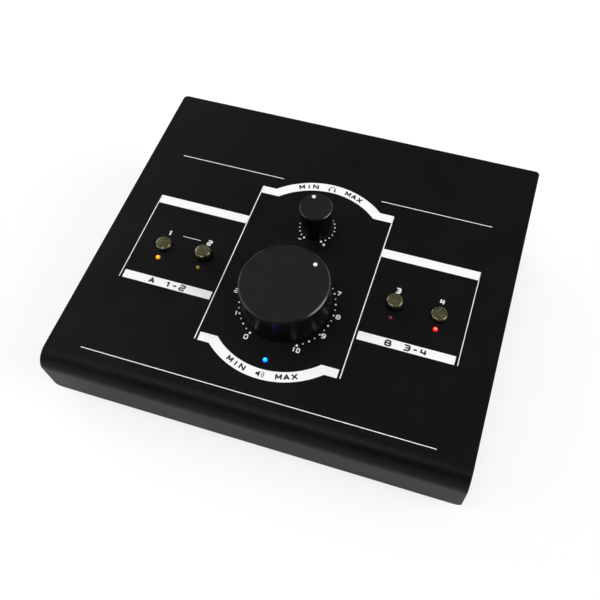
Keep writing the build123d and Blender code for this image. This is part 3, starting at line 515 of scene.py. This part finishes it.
# %% Draw the lines and the bars
line_width = 0.5
frame_width = 0.65
frame_x = 48.0
frame_rear, frame_front = 67.3, 194.7
box_x = 114.4
box_rear, box_front = 95.0, 165.8
top_bar_front = 101.6
label_bar_rear, label_bar_front = 159.7, 165.8
label_bar_x = (49.8, 112.3)
front_line_y, front_line_x = 221.0, 114.5
heading_line_y = 56.9
heading_line_x = (36.2, 114.4)


def line_down(drawing, x, rear, front, width):
    """A thin bar that runs from rear to front."""
    add_bar(drawing, x - width / 2, x + width / 2, rear, front)


def line_across(drawing, x_low, x_high, from_rear, width=line_width):
    """A thin bar that runs across the panel."""
    add_bar(drawing, x_low, x_high, from_rear - width / 2, from_rear + width / 2)


legend = bmesh.new()
for side in (-1, 1):
    line_down(legend, side * frame_x, frame_rear, frame_front, frame_width)
    line_down(legend, side * box_x, box_rear, box_front, line_width)
    for span, rear, front in (((frame_x, box_x + line_width / 2), box_rear, top_bar_front),
                              (label_bar_x, label_bar_rear, label_bar_front)):
        add_bar(legend, *sorted(side * x for x in span), rear, front)
    line_across(legend, *sorted(side * x for x in heading_line_x), heading_line_y)
line_across(legend, -front_line_x, front_line_x, front_line_y)

# %% Draw the arched bands
band_outer, band_inner = 57.8, 51.0
band_tab = 6.0                # width of the straight ends
rear_arc_y, front_arc_y = -110.5, -151.5
rear_tab_y, front_tab_y = -67.0, -195.1    # outer edges of the straight ends
front_tab_x = 46.0
arc_steps = 40


def arched_band(drawing, centre_y, tab_outer_y, tab_start_x, upward):
    """A band of two straight tabs and an arc, over or under a centre on the middle line."""
    rows = []
    for radius, tab_y in ((band_outer, tab_outer_y), (band_inner, tab_outer_y - upward * band_tab)):
        half_turn = math.acos(abs(tab_y - centre_y) / radius)
        row = [(-tab_start_x, tab_y)]
        for i in range(arc_steps + 1):
            turn = half_turn * (2 * i / arc_steps - 1)
            row.append((radius * math.sin(turn), centre_y + upward * radius * math.cos(turn)))
        rows.append(row + [(tab_start_x, tab_y)])
    add_strip(drawing, *rows, paint_low, paint_high)


arched_band(legend, rear_arc_y, rear_tab_y, frame_x, 1)
arched_band(legend, front_arc_y, front_tab_y, front_tab_x, -1)
print("lines and bands drawn:", len(legend.faces), "faces")

# %% [markdown]
# ## Scale dots
#
# The volume scale has forty steps over 300 degrees, with larger dots on the even steps and the
# largest at both ends. The headphone scale has twenty. Dots that repeat round a centre are a good
# case for Geometry Nodes: one tree takes the radius, the count and three dot sizes, places a
# point for each step, and sets a small disc on each. A step's place is its share of the sweep,
# counted from the middle, so the two end dots are those whose share reaches a half.

# %% Geometry Nodes tree for a ring of dots
scale_sweep = math.radians(300.0)
end_share = 0.499
disc_sides = 20


def ring_of_dots_tree():
    """A tree that sets discs of three sizes on an arc and paints them."""
    tree = bpy.data.node_groups.new("ring_of_dots", "GeometryNodeTree")
    sockets = {"Radius": "Float", "Steps": "Int", "Sweep": "Float", "Odd Dot": "Float",
               "Even Dot": "Float", "End Dot": "Float", "Height": "Float", "Paint": "Material"}
    for label, kind in sockets.items():
        tree.interface.new_socket(label, in_out="INPUT", socket_type=f"NodeSocket{kind}")
    tree.interface.new_socket("Geometry", in_out="OUTPUT", socket_type="NodeSocketGeometry")
    given = add_node(tree, "NodeGroupInput").outputs

    def math_node(operation, *sources):
        node = add_node(tree, "ShaderNodeMath", operation=operation)
        for number, source in enumerate(sources):
            if isinstance(source, bpy.types.NodeSocket):
                tree.links.new(source, node.inputs[number])
            else:
                node.inputs[number].default_value = source
        return node.outputs[0]

    def choose(factor, otherwise, chosen):
        pick = add_node(tree, "ShaderNodeMix", data_type="FLOAT")
        for label, source in (("Factor", factor), ("A", otherwise), ("B", chosen)):
            tree.links.new(source, pick.inputs[label])
        return pick.outputs[0]

    index = add_node(tree, "GeometryNodeInputIndex").outputs[0]
    share = math_node("SUBTRACT", math_node("DIVIDE", index, given["Steps"]), 0.5)
    turn = math_node("MULTIPLY", share, given["Sweep"])
    place = add_node(tree, "ShaderNodeCombineXYZ")
    for operation, axis in (("SINE", "X"), ("COSINE", "Y")):
        reach = math_node("MULTIPLY", math_node(operation, turn), given["Radius"])
        tree.links.new(reach, place.inputs[axis])
    points = add_node(tree, "GeometryNodePoints")
    tree.links.new(math_node("ADD", given["Steps"], 1.0), points.inputs["Count"])
    tree.links.new(place.outputs[0], points.inputs["Position"])

    odd = math_node("MODULO", index, 2.0)
    at_end = math_node("GREATER_THAN", math_node("ABSOLUTE", share), end_share)
    size = choose(at_end, choose(odd, given["Even Dot"], given["Odd Dot"]), given["End Dot"])
    scale = add_node(tree, "ShaderNodeCombineXYZ", inputs={"Z": 1.0})
    tree.links.new(size, scale.inputs["X"])
    tree.links.new(size, scale.inputs["Y"])
    disc = add_node(tree, "GeometryNodeMeshCylinder",
                    inputs={"Vertices": disc_sides, "Radius": 1.0})
    tree.links.new(given["Height"], disc.inputs["Depth"])
    spots = add_node(tree, "GeometryNodeInstanceOnPoints")
    tree.links.new(points.outputs[0], spots.inputs["Points"])
    tree.links.new(disc.outputs["Mesh"], spots.inputs["Instance"])
    tree.links.new(scale.outputs[0], spots.inputs["Scale"])
    real = add_node(tree, "GeometryNodeRealizeInstances")
    tree.links.new(spots.outputs[0], real.inputs[0])
    painted = add_node(tree, "GeometryNodeSetMaterial")
    tree.links.new(real.outputs[0], painted.inputs["Geometry"])
    tree.links.new(given["Paint"], painted.inputs["Material"])
    result = add_node(tree, "NodeGroupOutput")
    tree.links.new(painted.outputs[0], result.inputs[0])
    return tree


def grown_mesh(name, tree, values):
    """Run a Geometry Nodes tree with named values and keep the result as a plain mesh."""
    holder = bpy.data.objects.new(name, bpy.data.meshes.new(name))
    scene.collection.objects.link(holder)
    modifier = holder.modifiers.new(name, "NODES")
    modifier.node_group = tree
    for item in tree.interface.items_tree:
        if item.item_type == "SOCKET" and item.in_out == "INPUT":
            modifier[item.identifier] = values[item.name]
    graph = bpy.context.evaluated_depsgraph_get()
    mesh = bpy.data.meshes.new_from_object(holder.evaluated_get(graph))
    bpy.data.objects.remove(holder)
    return mesh


# %% Grow both scales
dots_tree = ring_of_dots_tree()


def scale_dots(name, from_rear, radius, steps, odd, even, end):
    """The dots of one scale, as a piece on the panel."""
    mesh = grown_mesh(name, dots_tree, {
        "Radius": radius * mm, "Steps": steps, "Sweep": scale_sweep,
        "Odd Dot": odd * mm, "Even Dot": even * mm, "End Dot": end * mm,
        "Height": (paint_high - paint_low) * mm, "Paint": print_white})
    paint_middle = (paint_high + paint_low) / 2 * mm
    mesh.transform(panel @ Matrix.Translation((0, -from_rear * mm, paint_middle)))
    piece = bpy.data.objects.new(name, mesh)
    scene.collection.objects.link(piece)
    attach(piece, "base")
    print(name, "has", steps + 1, "dots")


volume_scale_radius, headphone_scale_radius = 31.3, 12.15
scale_dots("volume_scale_dots", volume_from_rear, volume_scale_radius, steps=40,
           odd=0.42, even=0.60, end=0.78)
scale_dots("headphone_scale_dots", headphone_from_rear, headphone_scale_radius, steps=20,
           odd=0.56, even=0.56, end=0.76)

# %% [markdown]
# ## A stroke alphabet
#
# The volume scale counts from 0 to 10 in wide, bold figures. A font would give them as text
# curves, but a panel legend needs only a few characters, and all are simple: each is one or two
# strokes of even width through a few points, with rounded corners. Drawn that way they are clean
# closed shapes that match the lines beside them. Plus and minus, and the few letters on the white
# bars, come from the same table.

# %% Characters as strokes in a unit box
corner = 0.26                 # corner rounding, as a share of the height
sharp_corner = 0.25 * corner
corner_steps = 4
corner_limit = 0.49           # of the shorter side beside it
mitre_limit = 0.35            # keeps the mitre of a sharp corner short
shortest_step = 1e-4          # points closer than this, in mm, count as one
letter_gap = 1.3              # between letters, in stroke widths
stroke_share = 0.21           # stroke width, as a share of the height
top_arm, low_arm = 0.54, 0.46    # heights of the middle arms in 5, 6 and 9
usual_width = 0.85            # of a character, as a share of the height

characters = {
    "0": [[(0.5, 0), (0, 0), (0, 1), (1, 1), (1, 0), (0.5, 0)]],
    "1": [[(0.22, 0.74), (0.62, 0.98), (0.62, 0)]],
    "2": [[(0, 1), (1, 1), (1, 0.52), (0, 0.48), (0, 0), (1, 0)]],
    "3": [[(0, 1), (1, 1), (1, 0), (0, 0)], [(0.25, 0.5), (1, 0.5)]],
    "4": [[(0.12, 1), (0, 0.34), (1, 0.34)], [(0.76, 0.95), (0.76, 0)]],
    "5": [[(1, 1), (0, 1), (0, top_arm), (1, top_arm), (1, 0), (0, 0)]],
    "6": [[(1, 1), (0, 1), (0, 0), (1, 0), (1, top_arm), (0, top_arm)]],
    "7": [[(0, 1), (1, 1), (0.42, 0)]],
    "8": [[(0.5, 0), (0, 0), (0, 1), (1, 1), (1, 0), (0.5, 0)], [(0, 0.5), (1, 0.5)]],
    "9": [[(0, 0), (1, 0), (1, 1), (0, 1), (0, low_arm), (1, low_arm)]],
    "A": [[(0, 0), (0.5, 1), (1, 0)], [(0.2, 0.32), (0.8, 0.32)]],
    "B": [[(0, 0), (0, 1), (0.9, 1), (0.9, 0.5)], [(0, 0.5), (1, 0.5), (1, 0), (0, 0)]],
    "M": [[(0, 0), (0, 1), (0.5, 0.3), (1, 1), (1, 0)]],
    "I": [[(0.5, 0), (0.5, 1)]],
    "N": [[(0, 0), (0, 1), (1, 0), (1, 1)]],
    "X": [[(0, 0), (1, 1)], [(0, 1), (1, 0)]],
    "+": [[(0, 0.5), (1, 0.5)], [(0.5, 0), (0.5, 1)]],
    "-": [[(0, 0.5), (1, 0.5)]],
}
narrow = {"1": 0.8, "I": 0.4, "-": 0.7}    # widths, as shares of the usual one
sharp = "147AMNX"             # characters with sharper corners than the rest


def rounded(points, radius):
    """Replace each corner of a stroke by a few points of a soft curve."""
    path = [Vector(points[0])]
    for before, corner_point, after in zip(points, points[1:], points[2:]):
        before, corner_point, after = Vector(before), Vector(corner_point), Vector(after)
        room = corner_limit * min((before - corner_point).length, (after - corner_point).length)
        cut = min(radius, room)
        start = corner_point + (before - corner_point).normalized() * cut
        end = corner_point + (after - corner_point).normalized() * cut
        for step in range(corner_steps + 1):
            share = step / corner_steps
            path.append(start * (1 - share) ** 2 + corner_point * 2 * share * (1 - share)
                        + end * share ** 2)
    return path + [Vector(points[-1])]


def stroke_rows(path, width):
    """The two edges of a stroke along a path, mitred at its corners."""
    rows = ([], [])
    for i, point in enumerate(path):
        ways = [(path[j + 1] - path[j]).normalized()
                for j in (i - 1, i) if 0 <= j < len(path) - 1]
        sides = [Vector((-way.y, way.x)) for way in ways]
        side = sum(sides, Vector((0, 0))) / len(sides)
        reach = width / 2 / max(side.length_squared, mitre_limit)
        rows[0].append(point + side * reach)
        rows[1].append(point - side * reach)
    return rows


def write(drawing, words, height, x, y, turn=0.0, low=paint_low, high=paint_high,
          widen=usual_width, weight=stroke_share):
    """Add words to a flat drawing, centred on a place in mm and turned anticlockwise."""
    stroke = height * weight
    widths = [height * widen * narrow.get(letter, 1.0) for letter in words]
    gap = letter_gap * stroke
    start = -(sum(widths) + gap * (len(words) - 1)) / 2
    spin = Matrix.Rotation(turn, 2)
    for letter, width in zip(words, widths):
        for points in characters.get(letter, []):
            across, up = width - stroke, height - stroke
            placed = [(start + stroke / 2 + px * across, (py - 0.5) * up) for px, py in points]
            soft = rounded(placed, height * (sharp_corner if letter in sharp else corner))
            path = [point for i, point in enumerate(soft)
                    if i == 0 or (point - soft[i - 1]).length > shortest_step]
            rows = stroke_rows(path, stroke)
            turned = [[(spin @ point) + Vector((x, y)) for point in row] for row in rows]
            add_strip(drawing, *turned, low, high)
        start += width + gap


# %% Numerals round the volume knob
numeral_height, numeral_weight = 3.4, 0.19
two_figures_wide = 0.7        # the figures of the 10 are narrower than single ones
# The middle of each figure: across the panel, and from its rear edge.
numeral_places = ((-17.2, 184.2), (-29.4, 170.0), (-35.1, 154.2), (-29.8, 137.4),
                  (-17.0, 124.5), (0.0, 120.0), (17.0, 124.5), (29.8, 137.4),
                  (34.4, 154.1), (29.6, 169.8), (16.1, 184.0))
for number, (x, from_rear) in enumerate(numeral_places):
    widen = two_figures_wide if number == 10 else usual_width
    write(legend, str(number), numeral_height, x, -from_rear, widen=widen, weight=numeral_weight)

# Minus and plus at the ends of the headphone scale.
sign_size, sign_x, sign_from_rear = 2.6, 8.6, 103.4
write(legend, "-", sign_size, -sign_x, -sign_from_rear, widen=1.5)
write(legend, "+", sign_size, sign_x, -sign_from_rear, widen=1.0)

# %% Numbers over the buttons
button_label_from_rear, button_label_height, button_label_weight = 124.1, 4.2, 0.22
for number, x in enumerate(button_x.values(), start=1):
    write(legend, str(number), button_label_height, x, -button_label_from_rear,
          weight=button_label_weight)

# A short line links the first two buttons, which work on the same signal.
link_x, link_width = (-86.0, -73.0), 2 / 3 * line_width
line_across(legend, *link_x, button_label_from_rear, link_width)

finish_drawing("panel_print", legend, panel, print_white, "base")

# %% [markdown]
# ## Dark signs on the white bars
#
# The white bars and bands carry dark signs: a letter and two numbers for each group of buttons, a
# headphone over the small knob and a loudspeaker under the large one, each between MIN and MAX.
# They are drawn like the white print, a hair higher, so that they lie on it.

# %% Draw the signs
signs = bmesh.new()
ink_low, ink_high = 0.02, 0.05         # the ink lies over the paint of a white bar
sign_height, ink_weight = 4.6, 0.24
arc_letter_height, arc_letter_pitch = 4.2, 4.9
word_turn = 0.31              # from the middle line to the middle of a word, in radians
band_middle = (band_outer + band_inner) / 2


def ink(words, height, x, y, turn=0.0):
    """Dark words on a white bar, centred on a place."""
    write(signs, words, height, x, y, turn, ink_low, ink_high, widen=1.0, weight=ink_weight)


def ink_along(words, centre_y, middle_turn, upward):
    """Dark letters along an arched band, each turned to stand on it."""
    for i, letter in enumerate(words):
        turn = middle_turn + (i - (len(words) - 1) / 2) * arc_letter_pitch / band_middle
        x = band_middle * math.sin(turn)
        y = centre_y + upward * band_middle * math.cos(turn)
        ink(letter, arc_letter_height, x, y, -upward * turn)


for side, label in ((-1, "A 1-2"), (1, "B 3-4")):
    ink(label, sign_height, side * sum(label_bar_x) / 2, -(label_bar_rear + label_bar_front) / 2)
for words, side in (("MIN", -1), ("MAX", 1)):
    ink_along(words, rear_arc_y, side * word_turn, 1)
    ink_along(words, front_arc_y, side * word_turn, -1)


def arc_strip(drawing, x, y, radius, width, start, end, steps=16):
    """A stroke along an arc of a circle."""
    rows = []
    for edge in (radius + width / 2, radius - width / 2):
        turns = [start + (end - start) * i / steps for i in range(steps + 1)]
        rows.append([(x + edge * math.cos(a), y + edge * math.sin(a)) for a in turns])
    add_strip(drawing, *rows, ink_low, ink_high)


# A headphone: a half ring with a pad at each end.
headphone_y = rear_arc_y + band_middle
hoop_radius, hoop_width, hoop_drop = 2.1, 0.55, 0.6
pad_x, pad_half_width, pad_rear, pad_front = 2.0, 0.55, 0.3, 2.5
arc_strip(signs, 0, headphone_y - hoop_drop, hoop_radius, hoop_width, 0.0, math.pi)
for side in (-1, 1):
    add_bar(signs, side * pad_x - pad_half_width, side * pad_x + pad_half_width,
            pad_rear - headphone_y, pad_front - headphone_y, ink_low, ink_high)

# A loudspeaker: a box and its cone in one outline, with two sound waves.
speaker_y = front_arc_y - band_middle
box_left, box_right, cone_right = -2.6, -1.5, 0.0
box_half, cone_half = 0.8, 2.0
wave_x, wave_width, wave_half_turn = 0.2, 0.5, 0.9
wave_radii = (1.3, 2.5)
lower_half = [(box_left, -box_half), (box_right, -box_half), (cone_right, -cone_half)]
upper_half = [(x, -y) for x, y in reversed(lower_half)]
add_prism(signs, [(x, speaker_y + y) for x, y in lower_half + upper_half], ink_low, ink_high)
for radius in wave_radii:
    arc_strip(signs, wave_x, speaker_y, radius, wave_width, -wave_half_turn, wave_half_turn)
finish_drawing("panel_signs", signs, panel, print_black, "base")

# %% [markdown]
# ## Paint in the pointer dots
#
# Each knob has a small drilled dimple near its rim, filled with white paint that stands a hair
# below the face. The paint is a shallow domed disc. It rides with its knob, so the pointer turns
# with it.

# %% Pointer dots
dot_radius = 1.45
dot_rings, dot_sides = 5, 28
dot_crown, dot_rim, dot_foot = -0.04, -0.20, -0.29    # heights from the knob's face, in mm
dot_turns = [2 * math.pi * i / dot_sides for i in range(dot_sides)]


def pointer_dot(name, body, from_rear, reach, angle, top):
    """A domed drop of paint at the pointer's place on a knob."""
    drop = bmesh.new()
    rings = []
    for ring in range(1, dot_rings + 1):
        radius = dot_radius * ring / dot_rings * mm
        height = dot_crown + (dot_rim - dot_crown) * (ring / dot_rings) ** 4
        rings.append([drop.verts.new((radius * math.cos(a), radius * math.sin(a), height * mm))
                      for a in dot_turns])
    rings.append([drop.verts.new((v.co.x, v.co.y, dot_foot * mm)) for v in rings[-1]])
    crown = drop.verts.new((0, 0, dot_crown * mm))
    foot = drop.verts.new((0, 0, dot_foot * mm))
    for i in range(dot_sides):
        after = (i + 1) % dot_sides
        drop.faces.new((crown, rings[0][i], rings[0][after]))
        drop.faces.new((foot, rings[-1][after], rings[-1][i]))
        for inner, outer in zip(rings, rings[1:]):
            drop.faces.new((inner[i], outer[i], outer[after], inner[after]))
    turn = math.radians(angle)
    x, y = reach * math.sin(turn), reach * math.cos(turn) - from_rear
    place = panel @ Matrix.Translation((x * mm, y * mm, top * mm))
    for polygon in finish_drawing(name, drop, place, print_white, body).polygons:
        polygon.use_smooth = True


# The angles, in degrees from straight up, are those at which the knobs are stored.
pointer_dot("volume_pointer_dot", "volume", volume_from_rear,
            reach=23.0, angle=38.6, top=volume_top)
pointer_dot("headphone_pointer_dot", "headphone", headphone_from_rear,
            reach=8.7, angle=-27.0, top=headphone_top)

# %% [markdown]
# ## Floor, light and camera
#
# The floor is plain white. It takes the object's soft shadow, and most of its white is its own
# light for the camera, so that it stays white without more light on the object. Mirrors and clear
# pieces see less of that own light, which leaves the contact shadow in what they show. The room
# is bright at the horizon and grey above, with a dark side in front, as in a studio where nothing
# stands behind the camera: it draws the dark band along the bend. Wide suns stand for far soft
# boxes: they light the floor evenly, as a near lamp can't, and each one has its own task.

# %% Floor
floor_size = 4.0
own_light_level = 1.04
camera_share, mirror_part = 0.72, 0.2    # how much of the floor is its own light, for each ray
bpy.ops.mesh.primitive_plane_add(size=floor_size)
floor = bpy.context.object
floor.name = "floor"

floor_paint, floor_shader = new_finish("floor_paint", roughness=0.9, specular=0.0)
floor_tree = floor_paint.node_tree
floor_shader.inputs["Base Color"].default_value = (0.95, 0.95, 0.95, 1)
rays = add_node(floor_tree, "ShaderNodeLightPath")
mirrors = add_node(floor_tree, "ShaderNodeMath", operation="ADD", use_clamp=True)
floor_tree.links.new(rays.outputs["Is Glossy Ray"], mirrors.inputs[0])
floor_tree.links.new(rays.outputs["Is Transmission Ray"], mirrors.inputs[1])
mirror_share = add_node(floor_tree, "ShaderNodeMath", operation="MULTIPLY",
                        inputs={1: mirror_part})
floor_tree.links.new(mirrors.outputs[0], mirror_share.inputs[0])
own_share = add_node(floor_tree, "ShaderNodeMath", operation="MULTIPLY_ADD",
                     inputs={1: camera_share})
floor_tree.links.new(rays.outputs["Is Camera Ray"], own_share.inputs[0])
floor_tree.links.new(mirror_share.outputs[0], own_share.inputs[2])
own_light = add_node(floor_tree, "ShaderNodeEmission",
                     inputs={"Color": (1, 1, 1, 1), "Strength": own_light_level})
floor_mix = add_node(floor_tree, "ShaderNodeMixShader")
floor_tree.links.new(own_share.outputs[0], floor_mix.inputs["Fac"])
floor_tree.links.new(floor_shader.outputs[0], floor_mix.inputs[1])
floor_tree.links.new(own_light.outputs[0], floor_mix.inputs[2])
floor_tree.links.new(floor_mix.outputs[0], floor_tree.nodes["Material Output"].inputs["Surface"])
floor.data.materials.append(floor_paint)

# %% Room light
room_light, horizon_light = 0.40, 1.3
horizon_span = (0.12, 0.40)   # heights between which the horizon fades to the room
front_light, front_span = 0.15, (-0.7, -0.35)    # the dark side in front, and where it starts
low_level, low_span = 1.2, (0.10, 0.32)          # a bright band close to the floor, all round
world = bpy.data.worlds.new("room")
world.use_nodes = True
scene.world = world
room_tree = world.node_tree
room_way = add_node(room_tree, "ShaderNodeTexCoord")
room_axes = add_node(room_tree, "ShaderNodeSeparateXYZ")
room_tree.links.new(room_way.outputs["Generated"], room_axes.inputs[0])
room_level = spread(room_tree, room_axes.outputs["Z"], horizon_light, room_light, *horizon_span)
front_level = spread(room_tree, room_axes.outputs["Y"], front_light, 1.0, *front_span)
room_mix = add_node(room_tree, "ShaderNodeMath", operation="MULTIPLY")
room_tree.links.new(room_level, room_mix.inputs[0])
room_tree.links.new(front_level, room_mix.inputs[1])
low_light = spread(room_tree, room_axes.outputs["Z"], low_level, 0.0, *low_span)
room_all = add_node(room_tree, "ShaderNodeMath", operation="MAXIMUM")
room_tree.links.new(room_mix.outputs[0], room_all.inputs[0])
room_tree.links.new(low_light, room_all.inputs[1])
seen = add_node(room_tree, "ShaderNodeLightPath").outputs["Is Camera Ray"]
room_final = add_node(room_tree, "ShaderNodeMix", data_type="FLOAT")
room_tree.links.new(seen, room_final.inputs["Factor"])
room_tree.links.new(room_all.outputs[0], room_final.inputs["A"])
room_final.inputs["B"].default_value = 1.0
background = room_tree.nodes["Background"]
background.inputs["Color"].default_value = (1, 1, 1, 1)
room_tree.links.new(room_final.outputs[0], background.inputs["Strength"])


def soft_sun(name, toward, width, strength):
    """A far soft box in a direction, with a width in degrees."""
    lamp = bpy.data.lights.new(name, "SUN")
    lamp.angle = math.radians(width)
    lamp.energy = strength
    holder = bpy.data.objects.new(name, lamp)
    scene.collection.objects.link(holder)
    holder.rotation_euler = (-Vector(toward)).to_track_quat("-Z", "Y").to_euler()
    print(name, "is", width, "degrees wide")


soft_sun("key_from_rear_left", (-0.84, 0.44, 0.30), 34, 1.1)
soft_sun("bend_from_front", (-0.20, -0.28, 0.94), 20, 0.6)
soft_sun("fill_from_left", (-0.80, -0.35, 0.50), 40, 0.6)
soft_sun("edge_from_right", (0.88, 0.0, 0.46), 44, 2.0)

# %% Camera
camera_place = Vector((104.7, -299.5, 419.7)) * mm
camera_aim = Vector((27.8, -32.7, 50.0)) * mm
camera_roll = math.radians(1.75)
focal_pixels, picture_pixels = 712.7, 600    # focal length and picture width, in pixels
centre_pixel = (330.3, 313.5)                # where the lens's axis meets the picture

lens = bpy.data.cameras.new("camera")
lens.sensor_width = 36.0
lens.lens = focal_pixels / picture_pixels * lens.sensor_width
lens.shift_x = (picture_pixels / 2 - centre_pixel[0]) / picture_pixels
lens.shift_y = (centre_pixel[1] - picture_pixels / 2) / picture_pixels
lens.clip_start = 0.01
camera = bpy.data.objects.new("camera", lens)
scene.collection.objects.link(camera)
look = (camera_aim - camera_place).to_track_quat("-Z", "Y").to_matrix().to_4x4()
camera.matrix_world = Matrix.Translation(camera_place) @ look @ Matrix.Rotation(camera_roll, 4, "Z")
scene.camera = camera
scene.view_settings.view_transform = "Standard"
